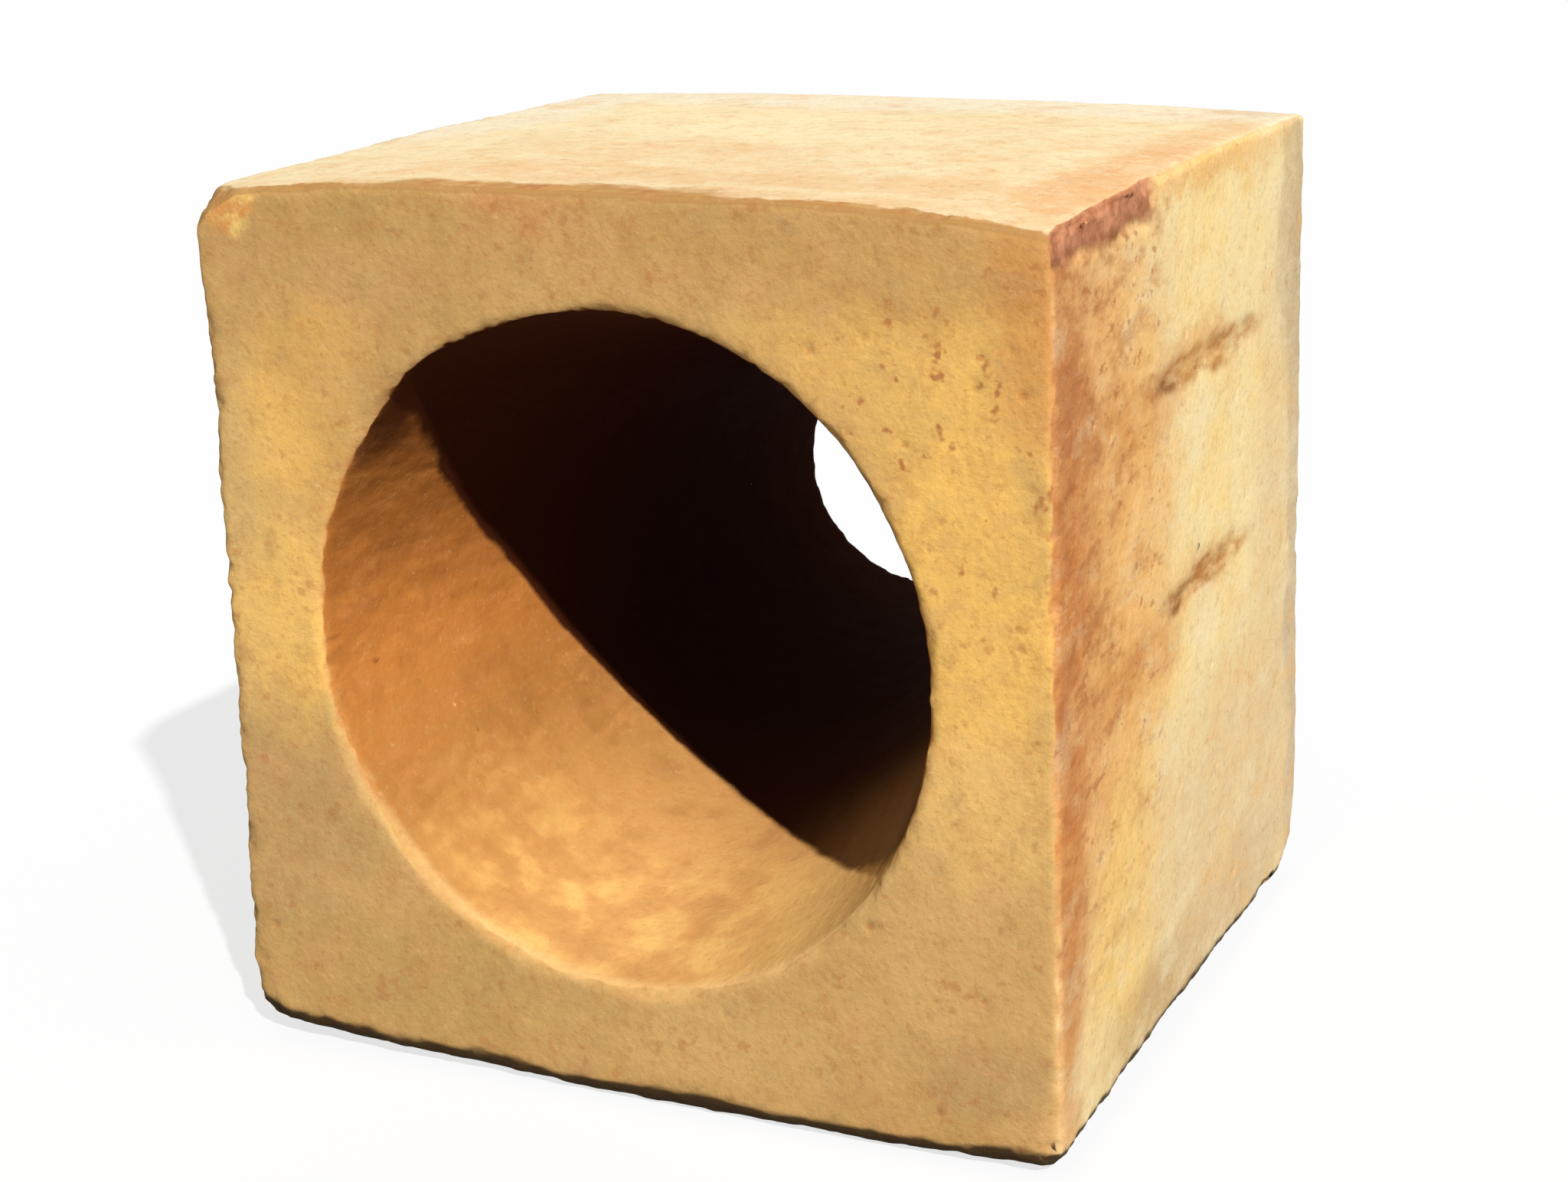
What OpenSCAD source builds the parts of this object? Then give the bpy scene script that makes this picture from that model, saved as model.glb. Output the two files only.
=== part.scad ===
// Insulating fire brick made as a burner block: one fired piece, nearly a cube, with
// a round bore that tapers from a wide mouth in the front face to a small opening in
// the back face. It stands on its flat base with the bore lying level.
// Millimetres, +Z up, front face towards -Y, origin at the middle of the base.

/* [Block] */
// Width of the block, left to right
block_width = 230; // [200:1:300]
// Height of the block to the highest point of its top
block_height = 230; // [210:1:300]
// Depth of the block, front face to back face
block_depth = 220; // [120:1:300]
// How much higher the bowed top is at its middle than along its two sides
crown_rise = 4.5; // [2:0.5:8]

/* [Bore] */
// Diameter of the wide mouth in the front face
mouth_diameter = 168; // [120:1:185]
// Diameter of the small opening in the back face
outlet_diameter = 80; // [40:1:110]
// Radius of the worn rim of the mouth
mouth_rim_radius = 3; // [1:0.5:5]
// Radius of the worn rim of the small opening
outlet_rim_radius = 3; // [1:0.5:5]

/* [Edges] */
// Radius of the worn edges
edge_radius = 3; // [1:0.5:5]
// Radius of the front and back edges of the top, where it is highest
top_edge_radius = 5; // [3:0.5:8]
// Radius of the lower left edge, which is worn most
worn_edge_radius = 10; // [5:0.5:14]

/* [Chipped corners] */
// Upper left front corner: how far the chip runs along the front top edge
upper_chip_across = 16; // [5:1:30]
// Upper left front corner: how far the chip runs back along the left top edge
upper_chip_back = 15; // [5:1:30]
// Upper left front corner: how far the chip runs down the front left edge
upper_chip_down = 12; // [5:1:30]
// Lower right back corner: how far the chip runs along the back bottom edge
lower_chip_across = 14; // [5:1:30]
// Lower right back corner: how far the chip runs forward along the right bottom edge
lower_chip_forward = 26; // [5:1:30]
// Lower right back corner: how far the chip runs up the back right edge
lower_chip_up = 12; // [5:1:30]

/* [Hidden] */
fire_brick_color = [0.87, 0.69, 0.41];
// Sides of a full circle of ordinary size
$fn = 128;
// Sides of the very large circle that the bowed top is part of
crown_sides = 720;
// Short steps that round each worn rim of the bore
rim_steps = 6;
// How far a cutting shape runs past the surface that it cuts
overrun = 20;
// How far above the bowed top the rounding of its edges begins
top_clearance = 0.1;

half_width = block_width / 2;
half_depth = block_depth / 2;
side_height = block_height - crown_rise;
bore_height = block_height / 2;
// Circle through the two top side edges and the highest line of the top
crown_radius = (half_width * half_width + crown_rise * crown_rise) / (2 * crown_rise);
crown_centre = block_height - crown_radius;
// Height of the bowed top where the rounding of its side edges begins
shoulder_offset = half_width - edge_radius;
shoulder_height = crown_centre + sqrt(crown_radius * crown_radius - shoulder_offset * shoulder_offset);

mouth_radius = mouth_diameter / 2;
outlet_radius = outlet_diameter / 2;
// Angle between the bore's wall and its axis
taper_angle = atan((mouth_radius - outlet_radius) / block_depth);

// What lies outside a round corner of the given radius, for the corner at the origin
// of a shape that fills the first quadrant.
module corner_waste(radius) {
    difference() {
        translate([-overrun, -overrun]) square(radius + overrun);
        translate([radius, radius]) circle(radius);
    }
}

// Block as seen from the front: bowed top, and four long edges rounded.
module front_outline() {
    difference() {
        intersection() {
            translate([-half_width, 0]) square([block_width, block_height + overrun]);
            translate([0, crown_centre]) circle(crown_radius, $fn = crown_sides);
        }
        translate([-half_width, 0]) corner_waste(worn_edge_radius);
        translate([half_width, 0]) mirror([1, 0]) corner_waste(edge_radius);
        for (side = [0, 1]) mirror([side, 0])
            translate([-half_width, shoulder_height + top_clearance])
                mirror([0, 1]) corner_waste(edge_radius);
    }
}

// Rectangle that is centred on the Y axis and stands on the X axis, with one radius for
// its two lower corners and one for its two upper ones.
module rounded_rectangle(width, height, lower_radius, upper_radius) {
    difference() {
        translate([-width / 2, 0]) square([width, height]);
        for (side = [0, 1]) mirror([side, 0]) {
            translate([-width / 2, 0]) corner_waste(lower_radius);
            translate([-width / 2, height]) mirror([0, 1]) corner_waste(upper_radius);
        }
    }
}

// Block as seen from above, with its four upright edges rounded.
module plan_outline() {
    translate([0, -half_depth])
        rounded_rectangle(block_width, block_depth, edge_radius, edge_radius);
}

// Block as seen from the side, with the level edges of its front and back rounded.
module side_outline() {
    rounded_rectangle(block_depth, block_height + top_clearance, edge_radius, top_edge_radius);
}

module block_body() {
    intersection() {
        rotate([90, 0, 0]) linear_extrude(block_depth, center = true) front_outline();
        linear_extrude(block_height + overrun) plan_outline();
        rotate([90, 0, 90]) linear_extrude(block_width, center = true) side_outline();
    }
}

// Points on an arc, from one angle to another.
function arc(centre, radius, start, end) = [
    for (i = [0:rim_steps])
        let (angle = start + (end - start) * i / rim_steps)
            centre + radius * [cos(angle), sin(angle)]
];

// Half section of the bore: X is the distance from its axis and Y runs from the front
// face at 0 to the back face. An arc rounds each rim from the face to the wall.
module bore_section() {
    mouth_edge = mouth_radius + mouth_rim_radius / tan(45 + taper_angle / 2);
    outlet_edge = outlet_radius + outlet_rim_radius / tan(45 - taper_angle / 2);
    mouth_centre = [mouth_edge, mouth_rim_radius];
    outlet_centre = [outlet_edge, block_depth - outlet_rim_radius];
    polygon(concat(
        [[0, -overrun], [mouth_edge, -overrun]],
        arc(mouth_centre, mouth_rim_radius, 270, 180 + taper_angle),
        arc(outlet_centre, outlet_rim_radius, 180 + taper_angle, 90),
        [[outlet_edge, block_depth + overrun], [0, block_depth + overrun]]
    ));
}

module tapered_bore() {
    translate([0, -half_depth, bore_height])
        rotate([-90, 0, 0])
            rotate_extrude() bore_section();
}

// Flat chip off a corner. It cuts the three edges that meet at the corner at the given
// distances from it; outward holds the sign of each edge's direction, X, Y and Z.
module corner_chip(corner, outward, distances) {
    normal = [for (i = [0:2]) outward[i] / distances[i]];
    depth = 1 / norm(normal);
    turn = atan2(normal[1], normal[0]);
    tilt = asin(normal[2] / norm(normal));
    size = 4 * max(distances);
    translate(corner)
        rotate([0, -tilt, turn])
            translate([-depth, -size / 2, -size / 2])
                cube(size);
}

module chipped_corners() {
    corner_chip(
        [-half_width, -half_depth, side_height], [-1, -1, 1],
        [upper_chip_across, upper_chip_back, upper_chip_down]
    );
    corner_chip(
        [half_width, half_depth, 0], [1, 1, -1],
        [lower_chip_across, lower_chip_forward, lower_chip_up]
    );
}

module fire_brick() {
    color(fire_brick_color)
        difference() {
            block_body();
            tapered_bore();
            chipped_corners();
        }
}

fire_brick();
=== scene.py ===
"""Looks of the insulating fire brick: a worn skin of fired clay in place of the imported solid, in
a plain pale studio.

The part's frame: X to the right, Y from the front face to the back face, Z up, origin at the
middle of the base. The shape is worked out in millimetres and turned into metres at the end.
"""
import math

import bmesh
import bpy
import numpy as np
from mathutils import Matrix, Vector


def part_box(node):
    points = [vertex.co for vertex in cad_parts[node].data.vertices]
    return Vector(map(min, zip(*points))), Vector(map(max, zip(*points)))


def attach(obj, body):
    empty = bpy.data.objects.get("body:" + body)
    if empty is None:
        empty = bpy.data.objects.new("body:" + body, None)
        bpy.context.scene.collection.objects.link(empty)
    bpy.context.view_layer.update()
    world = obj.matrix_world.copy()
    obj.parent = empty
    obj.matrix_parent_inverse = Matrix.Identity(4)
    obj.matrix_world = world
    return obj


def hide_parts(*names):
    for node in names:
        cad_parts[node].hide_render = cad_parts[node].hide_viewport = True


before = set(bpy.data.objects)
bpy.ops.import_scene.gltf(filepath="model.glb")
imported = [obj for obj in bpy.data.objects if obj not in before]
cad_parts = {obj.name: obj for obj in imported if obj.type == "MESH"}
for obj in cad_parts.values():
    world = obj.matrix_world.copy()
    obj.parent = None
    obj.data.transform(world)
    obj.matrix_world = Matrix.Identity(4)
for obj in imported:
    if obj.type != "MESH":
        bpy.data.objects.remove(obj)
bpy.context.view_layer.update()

NODE = "fire_brick"
MM = 0.001
SEED = 41

# ---------------------------------------------------------------- sizes, in millimetres
LOW, HIGH = (np.array(corner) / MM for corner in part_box(NODE))
HALF_WIDTH = HIGH[0]
HALF_DEPTH = HIGH[1]
HEIGHT = HIGH[2]

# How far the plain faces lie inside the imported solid, so that their relief stays in its box
MARGIN = 0.4
# How far the top stays under its box, and how softly it levels out there
TOP_MARGIN = 0.3
TOP_SOFTNESS = 0.3
# How far the underside stays above the floor, apart from its relief
BASE_MARGIN = 0.1
# Height of the top's corners: front left, front right, back left, back right
TOP_CORNERS = (225.0, 224.4, 226.6, 226.2)
# How much the top rises from its corners to its middle, along each of its four edges
TOP_BOW_FRONT, TOP_BOW_BACK, TOP_BOW_LEFT, TOP_BOW_RIGHT = 6.2, 1.8, 1.2, 2.4
# How far the side faces lean in: front bottom, front top, back bottom, back top
RIGHT_LEAN = (0.2, 4.2, 0.0, 4.4)
LEFT_LEAN = (2.8, 2.2, 0.0, 0.0)
# How far the left face is hollow at mid height
LEFT_HOLLOW = 0.9
# Underside of the front edge: how far its two ends stand off the floor, and its sag between
FRONT_LIFT = (4.6, 1.0)
FRONT_SAG = 3.1
# How far the underside of the right edge is arched
RIGHT_ARCH = 3.2

# Radii of the worn edges
EDGE_WEAR = 2.6
LEFT_WEAR = 4.5
TOP_WEAR = 1.8
BASE_WEAR = 6.5
LOWER_LEFT_WEAR = 11.0
RIM_WEAR = 2.8
# Where the radii change, as the start and the end of the change: to the base's wear on the sides
# and on front and back, to the top's wear, and to the left side's wear
BASE_WEAR_ON_SIDES = (60, 25)
BASE_WEAR_ON_ENDS = (26, 12)
TOP_WEAR_ON_ENDS = (0.8 * HEIGHT, 0.9 * HEIGHT)
LEFT_WEAR_FROM = (-60, -90)
# Strength and period of the noises that make the wear uneven, and its least and greatest factor
WEAR_NOISES = ((0.5, 24), (0.45, 8), (0.3, 3.5))
WEAR_LIMITS = (0.3, 1.9)
# Share of that unevenness on the wide edges of the base
BASE_UNEVENNESS = 0.3

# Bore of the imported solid: radius, and centre across and up, at the front and the back face
CAD_MOUTH = (84, 0, 115)
CAD_OUTLET = (40, 0, 115)
# The same for the bore that shows
MOUTH = (82.1, -0.3, 116.4)
OUTLET = (38.2, -3.2, 117.2)
# How much higher than wide the mouth is
MOUTH_STRETCH = 1.04
# Bulge in the mouth's wall, to its upper left: degrees round the bore, half width, and rise
BULGE = (128, 11, 1.8)
# Where the bulge ends, to the back
BULGE_END = -20
# Height and period of the waves in the bore's wall
BORE_WAVES = (0.7, 50)
# How far round the bore the solid's points move along with it
BORE_SURROUND = 30

# Size of the faces of the mesh before it is thinned out, and the number of triangles after
VOXEL = 1.0
TRIANGLES = 190_000


# ---------------------------------------------------------------- numbers for the shape
def smooth_step(value, start, end):
    """0 before start, 1 after end, and a smooth rise between them. The start may be the higher."""
    t = np.clip((value - start) / (end - start), 0, 1)
    return t * t * (3 - 2 * t)


def blend(a, b, share):
    return a + (b - a) * share


def bilinear(corners, first, second):
    """Value between four corners: near and far along first, at second's start and then its end."""
    near = blend(corners[0], corners[1], first)
    far = blend(corners[2], corners[3], first)
    return blend(near, far, second)


def bow(share):
    """Height of an arch that is 1 high, at a share of the way along it."""
    return 4 * share * (1 - share)


def noise(points, period, seed):
    """Smooth random values, mostly between -1 and 1, that vary over the given period."""
    rng = np.random.default_rng(SEED + seed)
    order = rng.permutation(256)
    order = np.concatenate([order, order])
    slopes = rng.normal(size=(256, 3))
    slopes /= np.linalg.norm(slopes, axis=1, keepdims=True)
    place = points / period + rng.uniform(0, 100, 3)
    cell = np.floor(place).astype(np.int64)
    inside = place - cell
    ease = inside**3 * (inside * (inside * 6 - 15) + 10)
    total = np.zeros(len(points))
    for corner in np.ndindex(2, 2, 2):
        i, j, k = ((cell + corner) & 255).T
        slope = slopes[order[order[order[i] + j] + k]]
        weight = np.prod(np.where(corner, ease, 1 - ease), axis=1)
        total += weight * np.einsum("ij,ij->i", slope, inside - corner)
    return 1.7 * total


def layered_noise(points, period, seed, layers=3):
    """Noise with finer layers on top, each of half the period and half the strength."""
    return sum(noise(points, period / 2**n, seed + 7 * n) / 2**n for n in range(layers))


def round_max(a, b, radius):
    """Distance to where two solids overlap, with the edge between them rounded."""
    inner = np.minimum(np.maximum(a + radius, b + radius), 0)
    outer = np.hypot(np.maximum(a + radius, 0), np.maximum(b + radius, 0))
    return inner + outer - radius


# ---------------------------------------------------------------- the worn block
def bore_at(y, mouth=MOUTH, outlet=OUTLET):
    """Radius of the bore and its centre across and up, at the given distances to the back."""
    share = (y + HALF_DEPTH) / (2 * HALF_DEPTH)
    return [blend(at_front, at_back, share) for at_front, at_back in zip(mouth, outlet)]


def depth_in_bore(points):
    """How far the points lie inside the bore's wall, without its stretch and waves."""
    x, y, z = points.T
    radius, bore_x, bore_z = bore_at(y)
    return radius - np.hypot(x - bore_x, z - bore_z)


def follow_bore(points):
    """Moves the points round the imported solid's bore along with the bore that shows."""
    x, y, z = points.T
    cad_radius, cad_x, cad_z = bore_at(y, CAD_MOUTH, CAD_OUTLET)
    radius, bore_x, bore_z = bore_at(y)
    across, up = x - cad_x, z - cad_z
    reach = np.hypot(across, up)
    share = 1 - smooth_step(reach - cad_radius, 0, BORE_SURROUND)
    widen = (radius - cad_radius) / reach
    points[:, 0] += share * (bore_x - cad_x + across * widen)
    points[:, 2] += share * (bore_z - cad_z + up * widen)
    return points


def bore_waves(points):
    """How far the bore's wall strays from an even taper."""
    x, y, z = points.T
    degrees = np.degrees(np.arctan2(z - MOUTH[2], x - MOUTH[1]))
    middle, half_width, rise = BULGE
    bulge = rise * np.exp(-(((degrees - middle) / half_width) ** 2))
    height, period = BORE_WAVES
    return bulge * smooth_step(y, BULGE_END, -HALF_DEPTH) + height * noise(points, period, seed=4)


def top_height(across, along):
    """Height of the top, at shares of the way to the right and to the back."""
    height = bilinear(TOP_CORNERS, across, along)
    height += bow(across) * blend(TOP_BOW_FRONT, TOP_BOW_BACK, along)
    height += bow(along) * (TOP_BOW_LEFT * (1 - across) ** 2 + TOP_BOW_RIGHT * across**2)
    limit = HEIGHT - TOP_MARGIN
    return (height + limit - np.sqrt((height - limit) ** 2 + TOP_SOFTNESS)) / 2


def base_height(across, along):
    """Height of the underside, at shares of the way to the right and to the back."""
    front_lift = blend(*FRONT_LIFT, across) - FRONT_SAG * bow(across)
    height = MARGIN + front_lift * (1 - along) ** 3 + RIGHT_ARCH * bow(along) * across**3
    return np.maximum(height, BASE_MARGIN)


def face_distances(points):
    """How far the points lie outside the sides, outside front and back, and outside top and base."""
    x, y, z = points.T
    across = np.clip((x + HALF_WIDTH) / (2 * HALF_WIDTH), 0, 1)
    along = np.clip((y + HALF_DEPTH) / (2 * HALF_DEPTH), 0, 1)
    up = np.clip(z / HEIGHT, 0, 1)
    right = HALF_WIDTH - MARGIN - bilinear(RIGHT_LEAN, up, along)
    left = -HALF_WIDTH + MARGIN + bilinear(LEFT_LEAN, up, along) + LEFT_HOLLOW * bow(up)
    sides = np.maximum(x - right, left - x)
    ends = np.abs(y) - (HALF_DEPTH - MARGIN)
    caps = np.maximum(z - top_height(across, along), base_height(across, along) - z)
    return sides, ends, caps


def uneven_wear(points):
    """Factor for each point that makes edges more or less worn."""
    wear = np.ones(len(points))
    for seed, (strength, period) in enumerate(WEAR_NOISES, start=1):
        wear += strength * noise(points, period, seed)
    return np.clip(wear, *WEAR_LIMITS)


def worn_block(points, wear, bore_wave):
    """Distance from the points to the worn block, positive outside it.

    wear holds a factor for each point that makes edges more or less worn, and bore_wave a
    change in the bore's radius.
    """
    x, y, z = points.T
    sides, ends, caps = face_distances(points)
    upper = smooth_step(z, *TOP_WEAR_ON_ENDS)
    on_left = smooth_step(x, *LEFT_WEAR_FROM)
    base_factor = blend(1, wear, BASE_UNEVENNESS)
    base_edge = blend(BASE_WEAR, LOWER_LEFT_WEAR, on_left) * base_factor
    side_edge = blend(EDGE_WEAR * wear, base_edge, smooth_step(z, *BASE_WEAR_ON_SIDES))
    body = round_max(sides, caps, side_edge)
    end_edge = blend(blend(EDGE_WEAR, LEFT_WEAR, on_left), TOP_WEAR, upper) * wear
    end_edge = blend(end_edge, BASE_WEAR * base_factor, smooth_step(z, *BASE_WEAR_ON_ENDS))
    body = round_max(body, ends, end_edge)
    radius, bore_x, bore_z = bore_at(y)
    slope = (MOUTH[0] - OUTLET[0]) / (2 * HALF_DEPTH)
    stretch = blend(MOUTH_STRETCH, 1, (y + HALF_DEPTH) / (2 * HALF_DEPTH))
    reach = np.hypot(x - bore_x, (z - bore_z) / stretch)
    bore = (radius + bore_wave - reach) / math.hypot(1, slope)
    return round_max(body, bore, RIM_WEAR * wear)


def settle_on(distance, points, rounds=4, step=0.05, least_steepness=0.25):
    """Moves the points onto the surface where the distance is nothing."""
    for _ in range(rounds):
        value = distance(points)
        slope = np.stack(
            [(distance(points + step * axis) - value) / step for axis in np.eye(3)], axis=1
        )
        steepness = np.maximum(np.einsum("ij,ij->i", slope, slope), least_steepness)
        points = points - slope * (value / steepness)[:, None]
    return points


# ---------------------------------------------------------------- breaks
# A corner broken off: the corner, and how far the break runs along X, Y and Z
CORNER_BREAKS = (
    ((-HALF_WIDTH, -HALF_DEPTH, 225), (15, 14, 11)),
    ((HALF_WIDTH, HALF_DEPTH, 0), (18, 33, 16)),
)
# Rough face of a break: height of its coarse and its fine relief, and how soft its border is
BREAK_RELIEF = (0.9, 0.35)
BREAK_SOFTNESS = 0.5
# Chips knocked out of edges: centre, radius, and the axis that they are drawn out along
CHIPS = (
    ((116, 112, 106), 8, 2),
    ((115, -2, 0), 6.5, 1),
    ((115, 76, 2), 6, 1),
    ((-113, -113, 186), 3.5, 2),
)
# Small chips at random places: how many, their radii, and the share of them on the bore's rims
SMALL_CHIPS = 60
SMALL_CHIP_RADII = (1.0, 2.1)
RIM_CHIP_SHARE = 0.25
# Lowest and highest corner of the box whose edges they lie on
CHIPPED_BOX = np.array([(-HALF_WIDTH, -HALF_DEPTH, 0), (HALF_WIDTH - 2, HALF_DEPTH, 226)])
# Factors that squeeze a chip along its axes, and the smaller one that draws it out along one
CHIP_SQUEEZE = (0.9, 1.3)
CHIP_DRAWN_OUT = (0.3, 0.6)
# How much a chip's wall wobbles, as a share of its radius
CHIP_WOBBLE = 0.5


def break_corners(points):
    """Cuts off the broken corners, each with a rough face."""
    coarse, fine = BREAK_RELIEF
    for corner, reach in CORNER_BREAKS:
        outward = np.sign([corner[0], corner[1], corner[2] - HEIGHT / 2])
        normal = outward / np.array(reach)
        depth = 1 / np.linalg.norm(normal)
        normal *= depth
        near = np.abs(points - corner).max(axis=1) < 3 * max(reach)
        spot = points[near]
        rough = coarse * layered_noise(spot, 9, seed=50) + fine * noise(spot, 2.6, seed=51)
        over = (spot - corner) @ normal + depth + rough
        cut = 0.5 * (over + np.sqrt(over**2 + BREAK_SOFTNESS))
        points[near] = spot - cut[:, None] * normal
    return points


def small_chips():
    """Small chips along the edges, but the front top one, and round both rims of the bore."""
    rng = np.random.default_rng(SEED)
    low, high = CHIPPED_BOX
    chips = []
    for _ in range(SMALL_CHIPS):
        share = rng.uniform(0, 1, 3)
        radius = rng.uniform(*SMALL_CHIP_RADII)
        axis = rng.integers(3)
        if rng.uniform() < RIM_CHIP_SHARE:
            rim = rng.choice([-HALF_DEPTH, HALF_DEPTH])
            reach, bore_x, bore_z = bore_at(rim)
            angle = 2 * math.pi * share[0]
            spot = (bore_x + reach * math.cos(angle), rim, bore_z + reach * math.sin(angle))
            chips.append((spot, radius, None))
            continue
        share[np.arange(3) != axis] = rng.integers(0, 2, 2)
        on_front_top = axis == 0 and share[1] == 0 and share[2] == 1
        if not on_front_top:
            chips.append((low + share * (high - low), radius, axis))
    return chips


def chip_edges(points):
    """Pushes the points that lie in a chip's hollow out to its wall."""
    rng = np.random.default_rng(SEED + 1)
    for centre, radius, axis in [*CHIPS, *small_chips()]:
        squeeze = rng.uniform(*CHIP_SQUEEZE, 3)
        if axis is not None:
            squeeze[axis] = rng.uniform(*CHIP_DRAWN_OUT)
        offset = (points - np.array(centre)) * squeeze
        reach = np.linalg.norm(offset, axis=1)
        near = reach < 1.6 * radius
        wobble = radius * (1 + CHIP_WOBBLE * noise(points[near], 1.2 * radius, seed=60))
        push = np.maximum(wobble / np.maximum(reach[near], 0.1), 1)
        points[near] = np.array(centre) + offset[near] * push[:, None] / squeeze
    return points


# ---------------------------------------------------------------- relief of the surfaces
# Heights of the relief: swell, waves, grains and fine grains on all faces
SWELL, WAVES, GRAINS, FINE_GRAINS = 0.30, 0.12, 0.05, 0.05
# Higher grains on the front third of the right face and on the bore's wall, and its streaks
THIRD_GRAINS, BORE_GRAINS, BORE_STREAKS = 0.12, 0.10, 0.16
# Where the front third of the right face ends, to the back
THIRD_END = (-48, -34)
# Rough patch under the right top edge: where it ends to the back, its foot, depth and relief
PATCH_END = -36
PATCH_FOOT = 217
PATCH_DEPTH, PATCH_RELIEF = 0.9, 0.45
# Scuffs along the right face: start and end to the back, height, half width
SCUFFS = ((-34, 62, 176, 5.0), (-28, 50, 119, 4.2))
SCUFF_DEPTH, SCUFF_UNEVENNESS = 0.45, 0.8
# Where a scuff begins and is full, measured from its start, and the same from its end
SCUFF_FRONT_END = (-4, 8)
SCUFF_BACK_END = (4, -14)
# How far the borders stray: of the third, of the patch's end and foot, and of the scuffs
THIRD_STRAY, PATCH_END_STRAY, PATCH_FOOT_STRAY, SCUFF_STRAY = 6, 3, 2.2, 1.5

# Pits in the front face: across, up, radius
PITS = (
    (53, 196, 1.0), (94, 197, 0.8), (101, 199, 0.8), (93, 190, 0.9), (104, 189, 1.1),
    (76, 176, 1.0), (83, 178, 0.7), (106, 168, 0.9), (66, 58, 1.1), (82, 42, 0.7),
    (57, 17, 0.7), (28, 29, 0.7), (-103, 33, 1.0), (-107, 22, 0.8), (96, 97, 0.7),
)
# Small pits at random places: how many on each face, and their radii
SMALL_PITS = 70
SMALL_PIT_RADII = (0.5, 0.9)
# Depth of a pit as a share of its radius, and how far from its centre it can be felt
PIT_DEPTH = 0.7
PIT_REACH = 8

# Distance of a point from both faces of an edge, or of a rim, where its wear begins and is full
WORN_EDGE = (-3.0, -0.8)
WORN_RIM = (-4.5, -2.0)


def region_shares(points, normals):
    """How far the points belong to the right face, and to the bore."""
    bore = smooth_step(depth_in_bore(points), -3, -1)
    right = smooth_step(normals[:, 0], 0.5, 0.9) * (1 - bore)
    return right, bore


def pit_places():
    """Pits listed one by one, and small ones at random, most of them to the upper right and in front.
    """
    rng = np.random.default_rng(SEED + 2)
    pits = [((x, -HALF_DEPTH, z), radius) for x, z, radius in PITS]
    for _ in range(SMALL_PITS):
        x = HALF_WIDTH * (2 * rng.beta(2.2, 1.2) - 1)
        z = HEIGHT * rng.beta(1.8, 1.2)
        pits.append(((x, -HALF_DEPTH, z), rng.uniform(*SMALL_PIT_RADII)))
    for _ in range(SMALL_PITS):
        y = HALF_DEPTH * (2 * rng.beta(1, 1.6) - 1)
        z = HEIGHT * rng.uniform(0, 1)
        pits.append(((HALF_WIDTH, y, z), rng.uniform(*SMALL_PIT_RADII)))
    return pits


def pit_depths(points):
    """How deep the pits are at the points."""
    depths = np.zeros(len(points))
    for centre, radius in pit_places():
        offset = points - np.array(centre)
        near = np.flatnonzero((np.abs(offset) < PIT_REACH).all(axis=1))
        through = 1 if abs(centre[1]) == HALF_DEPTH else 0
        offset = np.delete(offset[near], through, axis=1)
        reach = np.linalg.norm(offset, axis=1) / radius
        depths[near] = np.maximum(depths[near], PIT_DEPTH * radius * np.exp(-(reach**2)))
    return depths


def scuff_shares(points, wander):
    """How deep in a scuff the points lie, from 0 to 1."""
    _, y, z = points.T
    scuffed = np.zeros(len(points))
    for start, end, level, half_width in SCUFFS:
        along = smooth_step(y, *(start + past for past in SCUFF_FRONT_END))
        along *= smooth_step(y, *(end + past for past in SCUFF_BACK_END))
        near = np.exp(-(((z - level + SCUFF_STRAY * wander) / (0.7 * half_width)) ** 2))
        scuffed = np.maximum(scuffed, along * near)
    return scuffed


def relief(points, normals):
    """Height of the fine relief at the points."""
    _, y, z = points.T
    right, bore = region_shares(points, normals)
    wander = layered_noise(points, 14, seed=70)
    third = right * (1 - smooth_step(y + THIRD_STRAY * wander, *THIRD_END))
    patch_end = y + PATCH_END_STRAY * wander
    patch_foot = z + PATCH_FOOT_STRAY * wander
    patch = right * (1 - smooth_step(patch_end, PATCH_END - 2, PATCH_END + 2))
    patch *= smooth_step(patch_foot, PATCH_FOOT - 1.2, PATCH_FOOT + 0.6)
    height = SWELL * noise(points, 55, seed=71) + WAVES * layered_noise(points, 16, seed=72)
    grains = GRAINS + THIRD_GRAINS * third + BORE_GRAINS * bore
    height += grains * layered_noise(points, 5, seed=73)
    height += FINE_GRAINS * layered_noise(points, 2.4, seed=74, layers=2)
    height -= patch * (PATCH_DEPTH + PATCH_RELIEF * layered_noise(points, 4, seed=75))
    scuffed = scuff_shares(points, wander) * right
    height -= SCUFF_DEPTH * scuffed * (1 + SCUFF_UNEVENNESS * layered_noise(points, 6, seed=76))
    height += BORE_STREAKS * bore * layered_noise(points * (1, 0.12, 1), 5, seed=77)
    return height - pit_depths(points)


def worn_share(points):
    """How much each point lies on an upright edge or on a rim of the bore."""
    sides, ends, _ = face_distances(points)
    upright = smooth_step(np.minimum(sides, ends), *WORN_EDGE)
    rim = smooth_step(np.minimum(depth_in_bore(points), ends), *WORN_RIM)
    return np.maximum(upright, rim)


# ---------------------------------------------------------------- mesh
def add_object(name, data):
    thing = bpy.data.objects.new(name, data)
    bpy.context.scene.collection.objects.link(thing)
    return thing


def read_vectors(items, name):
    values = np.zeros(len(items) * 3, np.float32)
    items.foreach_get(name, values)
    return values.reshape(-1, 3).astype(float)


def read_points(piece):
    """Points of the mesh, in millimetres."""
    return read_vectors(piece.data.vertices, "co") / MM


def set_points(piece, points):
    piece.data.vertices.foreach_set("co", (points * MM).astype(np.float32).ravel())
    piece.data.update()


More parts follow.
